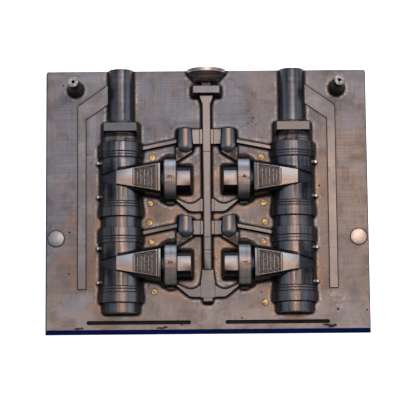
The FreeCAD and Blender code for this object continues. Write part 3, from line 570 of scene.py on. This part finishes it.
def strip_material():
    g = Graph("vent_strip")
    lines = g.noise(1, 3, 0.6, stretch=(18, 700, 10))
    # painted warm light on the lower part of the right-hand strip
    warm = g.step(g.x, -0.05, 0.05)
    warm = g.times(warm, g.step(g.y, 0.20, 0.06))
    colour = g.mix(warm, (0.084, 0.078, 0.080), (0.150, 0.122, 0.108))
    colour = g.tint(colour, g.step(g.noise(24, 4, 0.65), 0.45, 0.66), 0.5, (0.150, 0.140, 0.142))
    colour = g.tint(colour, g.step(lines, 0.45, 0.8), 0.35, (0.034, 0.029, 0.028))
    stain = g.step(g.noise(40, 5, 0.65), 0.55, 0.75)
    colour = g.tint(colour, stain, 0.4, (0.028, 0.022, 0.020))
    # lighter along sharp edges: partly wear, partly a painted glint
    edge = g.edges(0.5 * MM)
    colour = g.tint(colour, edge, 0.4, (0.16, 0.14, 0.13))
    g.relief(lines, 0.12, 0.1 * MM)
    return g.finish(colour, 0.78, g.lerp(g.noise(20, 3), 0.36, 0.55))


def brass_material():
    """Slotted brass plugs: fine parallel slots under patchy tarnish."""
    g = Graph("brass")
    wave = g.math("FRACT", g.times(g.x, 1 / (1.9 * MM)))
    slots = g.between(wave, 0.30, 0.52, 0.06)
    tarnish = g.step(g.noise(190, 4, 0.65), 0.36, 0.66)
    colour = g.mix(tarnish, (0.42, 0.285, 0.115), (0.185, 0.120, 0.052))
    # painted shade: the slots dark
    colour = g.tint(colour, slots, 0.7, (0.040, 0.024, 0.012))
    g.relief(g.without(slots), 0.6, 0.4 * MM)
    return g.finish(colour, 0.85, g.lerp(tarnish, 0.40, 0.6))


def pin_material():
    """Blackened pin with a ground tip."""
    g = Graph("pin_steel")
    tip = g.step(g.z, 127.2 * MM, 127.6 * MM)
    rings = g.noise(1, 3, 0.6, stretch=(6, 6, 1200))
    black = g.mix(g.step(g.noise(60, 4), 0.4, 0.7), (0.0035, 0.003, 0.003),
                  (0.010, 0.009, 0.008))
    marks = g.noise(420, 3, 0.6)
    bright = g.mix(g.step(marks, 0.42, 0.60), (0.235, 0.230, 0.232), (0.042, 0.040, 0.041))
    # lighter along the edges: partly wear, partly a painted glint
    edge = g.edges(0.5 * MM)
    colour = g.mix(tip, black, bright)
    colour = g.tint(colour, edge, 0.3, (0.14, 0.135, 0.13))
    g.relief(rings, 0.12, 0.08 * MM)
    return g.finish(colour, 0.85, g.lerp(tip, 0.42, 0.5))


def pad_material():
    """Ground discs with turning marks round their centres and crossed scratches."""
    g = Graph("pad_steel")
    dx, dy = g.minus(g.size(g.x), PAD_X), g.minus(g.y, PAD_Y)
    far = g.math("SQRT", g.plus(g.times(dx, dx), g.times(dy, dy)))
    rings = g.tree.nodes.new("ShaderNodeTexNoise")
    rings.noise_dimensions = "1D"
    g.feed(rings.inputs["W"], g.times(far, 1500.0))
    rings.inputs["Scale"].default_value = 1.0
    one = g.noise(1, 3, 0.6, stretch=(700, 60, 1), shift=(1, 0, 0))
    other = g.noise(1, 3, 0.6, stretch=(60, 700, 1), shift=(0, 4, 0))
    fine = g.step(g.plus(rings.outputs[0], g.minus(one, other)), 0.30, 0.75)
    # painted warm light: the right-hand pad lighter and warmer than the left
    warm = g.step(g.x, -0.05, 0.05)
    colour = g.mix(warm, (0.145, 0.140, 0.148), (0.320, 0.240, 0.210))
    colour = g.tint(colour, fine, 0.30, (0.110, 0.100, 0.100))
    marks = g.step(g.noise(1, 4, 0.7, stretch=(300, 60, 60)), 0.60, 0.70)
    colour = g.tint(colour, marks, 0.5, (0.060, 0.052, 0.052))
    # lighter along the rim: partly wear, partly a painted glint
    edge = g.edges(0.6 * MM)
    colour = g.tint(colour, edge, 0.4, (0.42, 0.38, 0.37))
    g.relief(fine, 0.15, 0.08 * MM)
    return g.finish(colour, 0.88, g.lerp(fine, 0.34, 0.46))


def fastener_material():
    g = Graph("fastener_steel")
    tone = g.mix(g.step(g.noise(220, 3), 0.4, 0.7), (0.020, 0.020, 0.022), (0.060, 0.058, 0.060))
    # lighter along sharp edges: partly wear, partly a painted glint
    edge = g.edges(0.4 * MM)
    colour = g.mix(g.times(edge, 0.4), tone, (0.30, 0.29, 0.29))
    return g.finish(colour, 0.85, g.lerp(g.noise(120, 3), 0.34, 0.5))


def mark_material():
    """Dark grime in engravings, seams and gaps, and painted shade in the grooves of the runs."""
    g = Graph("dark_mark")
    colour = g.mix(g.step(g.noise(300, 3), 0.4, 0.7), (0.006, 0.005, 0.005), (0.020, 0.014, 0.011))
    return g.finish(colour, 0.1, g.lerp(g.noise(150, 2), 0.7, 0.9), specular=0.2)


def floor_material():
    g = Graph("floor")
    colour = g.mix(g.noise(3, 2), (0.93, 0.93, 0.93), (0.95, 0.95, 0.95))
    g.shader.inputs["Emission Color"].default_value = (1, 1, 1, 1)
    g.shader.inputs["Emission Strength"].default_value = 0.8
    return g.finish(colour, 0.0, 0.9, specular=0.1)


LOOKS = {"plate_iron": plate_material(), "pattern_steel": pattern_material(),
         "gating_steel": gating_material(), "vent_strip": strip_material(),
         "brass": brass_material(), "pin_steel": pin_material(), "pad_steel": pad_material(),
         "fastener_steel": fastener_material(), "dark_mark": mark_material()}


# ---------------------------------------------------------------- pieces
def select_only(piece):
    bpy.context.view_layer.objects.active = piece
    bpy.ops.object.select_all(action="DESELECT")
    piece.select_set(True)


def new_piece(name, mesh, look):
    piece = bpy.data.objects.new(name, mesh)
    bpy.context.scene.collection.objects.link(piece)
    mesh.materials.clear()
    mesh.materials.append(LOOKS[look])
    return piece


def dressed(node, look, width):
    """A copy of a node with its edges eased and its round faces smooth, in the node's place."""
    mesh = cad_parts[node].data.copy()
    build = bmesh.new()
    build.from_mesh(mesh)
    bmesh.ops.remove_doubles(build, verts=build.verts, dist=0.004 * MM)
    bmesh.ops.dissolve_limit(build, angle_limit=MERGE_ANGLE, verts=build.verts,
                             edges=build.edges)
    build.to_mesh(mesh)
    build.free()
    piece = new_piece(f"{node}_finished", mesh, look)
    select_only(piece)
    bpy.ops.object.shade_smooth_by_angle(angle=SMOOTH_ANGLE)
    bevel = piece.modifiers.new("eased_edges", "BEVEL")
    bevel.width = width
    bevel.segments = 2
    bevel.limit_method = "ANGLE"
    bevel.angle_limit = BEVEL_ANGLE
    bevel.harden_normals = True
    bpy.ops.object.convert(target="MESH")
    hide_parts(node)
    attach(piece, "root")


def meshed(build, name):
    """The mesh of a finished bmesh, with its normals outward."""
    bmesh.ops.recalc_face_normals(build, faces=build.faces)
    mesh = bpy.data.meshes.new(name)
    build.to_mesh(mesh)
    build.free()
    return mesh


def lathe(name, profile, look, place, sides=96, half=False):
    """A turned piece from (radius, height) pairs in millimetres.

    It is a whole turn about Z through place, or the upper half of a turn about Y.
    """
    build = bmesh.new()
    count = sides // 2 + 1 if half else sides
    rows = []
    for radius, height in profile:
        radius, height = radius * MM, height * MM
        row = []
        for turn in range(count):
            angle = math.pi * turn / (count - 1) if half else math.tau * turn / count
            a, b = radius * math.cos(angle), radius * math.sin(angle)
            spot = (a, height, b) if half else (a, b, height)
            row.append(build.verts.new(Vector(spot) + Vector(place)))
        rows.append(row)
    for low, high in zip(rows, rows[1:]):
        for turn in range(count - 1 if half else count):
            after = turn + 1 if half else (turn + 1) % count
            build.faces.new((low[turn], low[after], high[after], high[turn]))
    bmesh.ops.remove_doubles(build, verts=build.verts, dist=0.001 * MM)
    piece = new_piece(name, meshed(build, name), look)
    select_only(piece)
    bpy.ops.object.shade_smooth_by_angle(angle=SMOOTH_ANGLE)
    return piece


def joined(pieces, name):
    bpy.ops.object.select_all(action="DESELECT")
    for piece in pieces:
        piece.select_set(True)
    bpy.context.view_layer.objects.active = pieces[0]
    bpy.ops.object.join()
    pieces[0].name = name
    pieces[0].data.name = name
    return pieces[0]


def ridged(name, pieces):
    piece = joined(pieces, name)
    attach(piece, "root")


def bar(name, points, width, height, base, look):
    """A raised line with sloping flanks that follows points at the height base."""
    build = bmesh.new()
    for start, end in zip(points, points[1:]):
        start, end = Vector(start), Vector(end)
        way = (end - start).normalized()
        off = Vector((-way.y, way.x)) * width / 2
        start, end = start - way * width / 2, end + way * width / 2
        low = [start + off, end + off, end - off, start - off]
        top = [start + off * 0.5 + way * width * 0.25, end + off * 0.5 - way * width * 0.25,
               end - off * 0.5 - way * width * 0.25, start - off * 0.5 + way * width * 0.25]
        low = [build.verts.new((p.x, p.y, base)) for p in low]
        top = [build.verts.new((p.x, p.y, base + height)) for p in top]
        build.faces.new(top)
        for one in range(4):
            two = (one + 1) % 4
            build.faces.new((low[one], low[two], top[two], top[one]))
    return new_piece(name, meshed(build, name), look)


# Finished copies of the milled and turned nodes, each with the width of its eased edges
for node, look, width in (
        ("body_patterns", "pattern_steel", 0.5 * MM),
        ("branch_core_prints", "pattern_steel", 0.6 * MM),
        ("keyed_core_prints", "pattern_steel", 1.6 * MM),
        ("middle_core_prints", "pattern_steel", 0.3 * MM),
        ("bottom_core_prints", "pattern_steel", 1.6 * MM),
        ("top_core_prints", "pattern_steel", 0.8 * MM),
        ("feeders", "gating_steel", 0.6 * MM),
        ("side_gates", "gating_steel", 0.5 * MM),
        ("pouring_basin", "gating_steel", 0.6 * MM),
        ("sprue", "gating_steel", 1.2 * MM),
        ("runner_upper", "gating_steel", 0.5 * MM),
        ("runner_joint_piece", "gating_steel", 0.4 * MM),
        ("runner_spacer", "gating_steel", 0.4 * MM),
        ("runner_lower", "gating_steel", 0.5 * MM),
        ("runner_tail", "gating_steel", 0.7 * MM),
        ("gas_vent_strips", "vent_strip", 0.4 * MM)):
    dressed(node, look, width)

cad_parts["base_plate"].data.materials.clear()
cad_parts["base_plate"].data.materials.append(LOOKS["plate_iron"])


def make_pins():
    pins = []
    profile = [(0, 0), (14.8, 0), (14.8, 11.4), (14.2, 12), (13.0, 12.3), (12.4, 13.2),
               (12.4, 66.5), (12.2, 68), (10.5, 78.6), (10.2, 79.4), (9.6, 80), (3.6, 80),
               (3.0, 79.4), (3.0, 70), (0, 68.3)]
    for side in SIDES:
        pins.append(lathe("pin", profile, "pin_steel",
                          (side * PIN_X, PIN_Y, FACE)))
    piece = joined(pins, "guide_pins_finished")
    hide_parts("guide_pins")
    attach(piece, "root")


def make_pads():
    pads = []
    profile = [(0, -8), (16.2, -8), (16.2, 0.7), (15.9, 1.25), (15.3, 1.5), (0, 1.5)]
    for side in SIDES:
        pads.append(lathe("pad", profile, "pad_steel",
                          (side * PAD_X, PAD_Y, FACE)))
    piece = joined(pads, "rest_pads_finished")
    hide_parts("rest_pads")
    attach(piece, "root")


def make_vents():
    """Flush brass plugs in the face, each with a dark seam round it."""
    places = [(-108.0, -189.2), (115.0, -212.0)]
    for side in SIDES:
        places += [(side * x, y) for x, y in ((110.5, 84.5), (115.0, -9.0), (117.0, -48.5),
                                              (113.5, -88.5))]
    plugs, seams = [], []
    for x, y in places:
        spot = (x * MM, y * MM, FACE)
        profile = [(6.0, -0.4), (6.0, 0.15), (5.7, 0.35), (0, 0.42)]
        plugs.append(lathe("plug", profile, "brass", spot, sides=48))
        profile = [(6.9, 0.02), (6.5, 0.10), (5.9, 0.10)]
        seams.append(lathe("seam", profile, "dark_mark", spot, sides=48))
    ridged("vent_plugs", plugs)
    ridged("vent_plug_seams", seams)


def ribbon(name, points, width, height, closed=False):
    """A flat line of grime, width wide, that follows points at one height."""
    build = bmesh.new()
    spots = [Vector(point) for point in points]
    count = len(spots)
    rows = []
    for number, spot in enumerate(spots):
        before = spots[number - 1] if number or closed else spot
        after = spots[(number + 1) % count] if number < count - 1 or closed else spot
        ways = [way.normalized() for way in (spot - before, after - spot) if way.length > 0]
        way = sum(ways, Vector((0, 0))).normalized()
        off = Vector((-way.y, way.x)) * width / 2 / max(0.3, way.dot(ways[0]))
        rows.append([build.verts.new((*(spot + off * sign), height)) for sign in (1, -1)])
    for number in range(count if closed else count - 1):
        low, high = rows[number], rows[(number + 1) % count]
        build.faces.new((low[0], low[1], high[1], high[0]))
    return new_piece(name, meshed(build, name), "dark_mark")


def make_seams():
    """Grime in the gaps round the vent strips and rest pads, and in the gating's joints."""
    lines = []

    def seam(points, width, height, closed=False):
        points = [(x * MM, y * MM) for x, y in points]
        lines.append(ribbon("seam", points, width * MM, height + LINE_HEIGHT, closed))

    strip_head, strip_foot = 202.2, -183.8
    ring, steps = 16.8, 72
    for side in SIDES:
        for line, elbow, head in ((262.45, 191.9, 236.0), (245.85, 164.3, 195.4)):
            seam([(side * strip_head, head), (side * line, elbow), (side * line, strip_foot)],
                 1.7, FACE)
        seam([(side * 262.9, -183.5), (side * 245.4, -183.5)], 1.4, FACE)
        turns = [math.tau * turn / steps for turn in range(steps)]
        seam([(side * PAD_X / MM + ring * math.cos(turn), PAD_Y / MM + ring * math.sin(turn))
              for turn in turns], 1.5, FACE, closed=True)
    inlet, runner = FACE + 10.5 * MM, FACE + 14 * MM
    for side in SIDES:
        for level, high, low in ((LEVELS[0], 104.0, 71.0), (LEVELS[1], 90.0, 58.6)):
            seam([(side * 14.3, level / MM + high), (side * 14.3, level / MM + low)], 1.3, inlet)
    for place in (94.7, -80.2, -106.4):
        seam([(-7.4, place), (7.4, place)], 1.5, runner)
    ridged("strip_and_pad_seams", lines)


def make_run_details():
    """Bands, beads and the grooves that part them, on each half-round run; the grooves are dark
    sheets of painted shade.
    """
    bands, grooves = [], []
    for side in SIDES:
        for row, level in enumerate(LEVELS):
            base = (side * COLUMN, level, FACE)
            top = ((54.0, 48.5, 42.6), (55.6, 49.8, 44.0))[row]
            low = ((-47.0, -52.2, -57.8), (-45.4, -50.6, -56.8))[row]
            for start, end, radius in ((low[1] + 0.6, low[0] - 0.8, 43.5),
                                       (low[2] + 0.6, low[1] - 0.6, 43.8),
                                       (-60.5, low[2] - 0.7, 45.1)):
                ease, root = 0.4, NECK_RADIUS / MM - 0.5
                profile = [(root, start), (radius - ease, start), (radius, start + ease),
                           (radius, end - ease), (radius - ease, end), (root, end)]
                bands.append(lathe("band", profile, "pattern_steel", base,
                                   half=True))
            end_radius = (38.3, 37.6)[row]
            # dark sheets of painted shade in the grooves
            for middle, width, radius in ((top[0], 2.6, 45.04), (top[1], 1.5, 45.04),
                                          (top[2], 2.5, 42.04), (low[0], 1.9, 42.04),
                                          (low[1], 1.7, 42.6), (low[2], 1.8, 42.9),
                                          (-77.9, 2.3, end_radius + 0.04)):
                start, end = middle - width / 2, middle + width / 2
                profile = [(radius, start), (radius + 0.12, start + 0.2),
                           (radius + 0.12, end - 0.2), (radius, end)]
                grooves.append(lathe("groove_shade", profile, "dark_mark", base,
                                     half=True))
    ridged("run_bands", bands)
    ridged("run_groove_shade", grooves)


def half_flat(off):
    """Half the width of a branch's flat in millimetres, off from the column's axis."""
    return NARROW + TAPER * (off + START)


def make_panels():
    """Double raised frames on the branch flats, with plain bars inside, and the steps beside."""
    pieces, marks = [], []
    for side in SIDES:
        for level in LEVELS:
            def spot(off, up):
                return (side * (COLUMN - off * MM), level + up * MM)

            for start, end, inset, base, wide in ((26.6, 72.0, 1.3, 0.0, 1.5),
                                                  (29.8, 68.8, 4.0, -0.7, 1.0)):
                near, far = half_flat(start) - inset, half_flat(end) - inset
                cut = 2.6
                ring = [spot(start + cut, -near - 0.4), spot(end - cut, -far + 0.4),
                        spot(end, -far + cut), spot(end, far - cut), spot(end - cut, far - 0.4),
                        spot(start + cut, near + 0.4), spot(start, near - cut),
                        spot(start, cut - near), spot(start + cut, -near - 0.4)]
                height = 0.55 * MM + (0.7 * MM if base else 0)
                pieces.append(bar("frame", ring, wide * MM, height, FLAT + base * MM,
                                  "pattern_steel"))
            for row in range(5):
                off = 34.4 + 7.2 * row
                reach = half_flat(off) - 6.6
                for part in range(4):
                    first = -1.0 + 0.5 * part + (0.06 if row % 2 else 0.0)
                    last = first + (0.36 if (row + part) % 3 else 0.26)
                    pieces.append(bar("row", [spot(off, reach * first), spot(off, reach * last)],
                                      2.9 * MM, 0.8 * MM, FLAT - 0.7 * MM, "pattern_steel"))
            near = half_flat(76.2) + 1.0
            pieces.append(bar("step", [spot(76.0, -near), spot(76.0, near)], 1.5 * MM, 0.8 * MM,
                              FLAT, "pattern_steel"))
            marks.append(bar("line", [spot(74.2, -near), spot(74.2, near)], 1.5 * MM, 0.16 * MM,
                             FLAT, "dark_mark"))
            marks.append(bar("line", [spot(25.0, 3.0 - 18.2), spot(25.0, 18.2 - 3.0)], 1.0 * MM,
                             0.14 * MM, FLAT, "dark_mark"))
    ridged("branch_panels", pieces)
    ridged("panel_lines", marks)


def make_numerals():
    """Plain cavity numbers on the collars, turned to read from the side."""
    pieces = []
    numbers = {(-1, 0): "3", (1, 0): "4", (-1, 1): "2", (1, 1): "1"}
    for (side, row), text in numbers.items():
        curve = bpy.data.curves.new("numeral", "FONT")
        curve.body = text
        curve.size = 12 * MM
        curve.offset = 0.28 * MM
        curve.align_x = "CENTER"
        curve.align_y = "CENTER"
        letter = bpy.data.objects.new("numeral", curve)
        bpy.context.scene.collection.objects.link(letter)
        bpy.context.view_layer.update()
        mesh = bpy.data.meshes.new_from_object(letter)
        bpy.data.objects.remove(letter)
        build = bmesh.new()
        build.from_mesh(mesh)
        bmesh.ops.triangulate(build, faces=build.faces)
        bmesh.ops.subdivide_edges(build, edges=build.edges, cuts=3, use_grid_fill=True)
        build.to_mesh(mesh)
        build.free()
        turn = Matrix.Rotation(math.radians(-90 * side), 4, "Z")
        mesh.transform(turn)
        middle = side * (COLUMN - (COLLAR_NEAR + COLLAR_FAR) / 2)
        for vertex in mesh.vertices:
            drop = math.sqrt((COLLAR_RADIUS + 0.15 * MM) ** 2 - vertex.co.y ** 2)
            vertex.co = (vertex.co.x + middle, vertex.co.y + LEVELS[row], FACE + drop)
        pieces.append(new_piece("numeral", mesh, "dark_mark"))
    ridged("collar_numbers", pieces)


def make_back_screws():
    """Socket screws whose heads stand out of the back pockets' floors, behind the patterns."""
    pocket_floor, head = 28 * MM, 8 * MM
    pieces = []
    for side in SIDES:
        spots = [(side * COLUMN, y * MM) for y in (200, 90.6, 24, -82.9, -164.9)]
        spots += [(side * (COLUMN - 62 * MM), level) for level in LEVELS]
        for x, y in spots:
            profile = [(0, 5.0), (3.1, 5.0), (3.1, 0.4), (3.5, 0), (5.9, 0), (6.5, 0.6), (6.5, 8)]
            pieces.append(lathe("screw", profile, "fastener_steel",
                                (x, y, pocket_floor - head), sides=36))
    ridged("back_screws", pieces)


make_pins()
make_pads()
make_vents()
make_seams()
make_run_details()
make_panels()
make_numerals()
make_back_screws()


# ---------------------------------------------------------------- stage
def make_floor():
    mesh = bpy.data.meshes.new("floor")
    reach = 6.0
    low = -0.2 * MM
    corners = [(-reach, -reach, low), (reach, -reach, low), (reach, reach, low),
               (-reach, reach, low)]
    mesh.from_pydata(corners, [], [(0, 1, 2, 3)])
    floor = bpy.data.objects.new("floor", mesh)
    bpy.context.scene.collection.objects.link(floor)
    mesh.materials.append(floor_material())


def area_light(name, place, aim, size, energy, colour):
    data = bpy.data.lights.new(name, "AREA")
    data.shape = "RECTANGLE"
    data.size, data.size_y = size
    data.energy = energy
    data.color = colour
    light = bpy.data.objects.new(name, data)
    bpy.context.scene.collection.objects.link(light)
    light.location = place
    way = Vector(aim) - Vector(place)
    light.rotation_euler = way.to_track_quat("-Z", "Y").to_euler()
    light.visible_camera = False


def make_light():
    world = bpy.data.worlds.new("studio")
    bpy.context.scene.world = world
    world.use_nodes = True
    background = world.node_tree.nodes["Background"]
    background.inputs[0].default_value = (0.74, 0.84, 1.0, 1)
    background.inputs[1].default_value = 0.14
    area_light("crest", (0.42, 0.85, 3.3), (0.05, 0.1, 0.05), (0.17, 1.8), 38, (1.0, 0.74, 0.58))
    area_light("fill", (0.1, 0.9, 3.9), (0, 0, 0.05), (4.4, 3.4), 128, (0.94, 0.96, 1.0))
    area_light("back", (0.0, 3.0, 0.7), (0, 0, 0.05), (3.6, 1.0), 40, (0.80, 0.86, 1.0))
    area_light("left", (-2.9, 0.2, 1.4), (0, 0, 0.05), (1.6, 2.6), 19, (0.70, 0.82, 1.0))
    area_light("right", (2.9, 0.1, 1.6), (0, 0, 0.05), (1.8, 2.6), 32, (0.80, 0.88, 1.0))


def make_camera():
    data = bpy.data.cameras.new("camera")
    data.sensor_width = 36
    data.sensor_height = 36
    data.sensor_fit = "HORIZONTAL"
    data.lens = 157.5
    data.clip_end = 50
    camera = bpy.data.objects.new("camera", data)
    bpy.context.scene.collection.objects.link(camera)
    right = Vector((0.999962, -0.008589, 0.001606))
    down = Vector((-0.008259, -0.989079, -0.147156))
    forward = Vector((0.002852, 0.147137, -0.989112))
    turn = Matrix((right, -down, -forward)).transposed()
    camera.matrix_world = Matrix.Translation((-0.02453, -0.52551, 3.56319)) @ turn.to_4x4()
    bpy.context.scene.camera = camera
    bpy.context.scene.view_settings.view_transform = "Standard"


make_floor()
make_light()
make_camera()
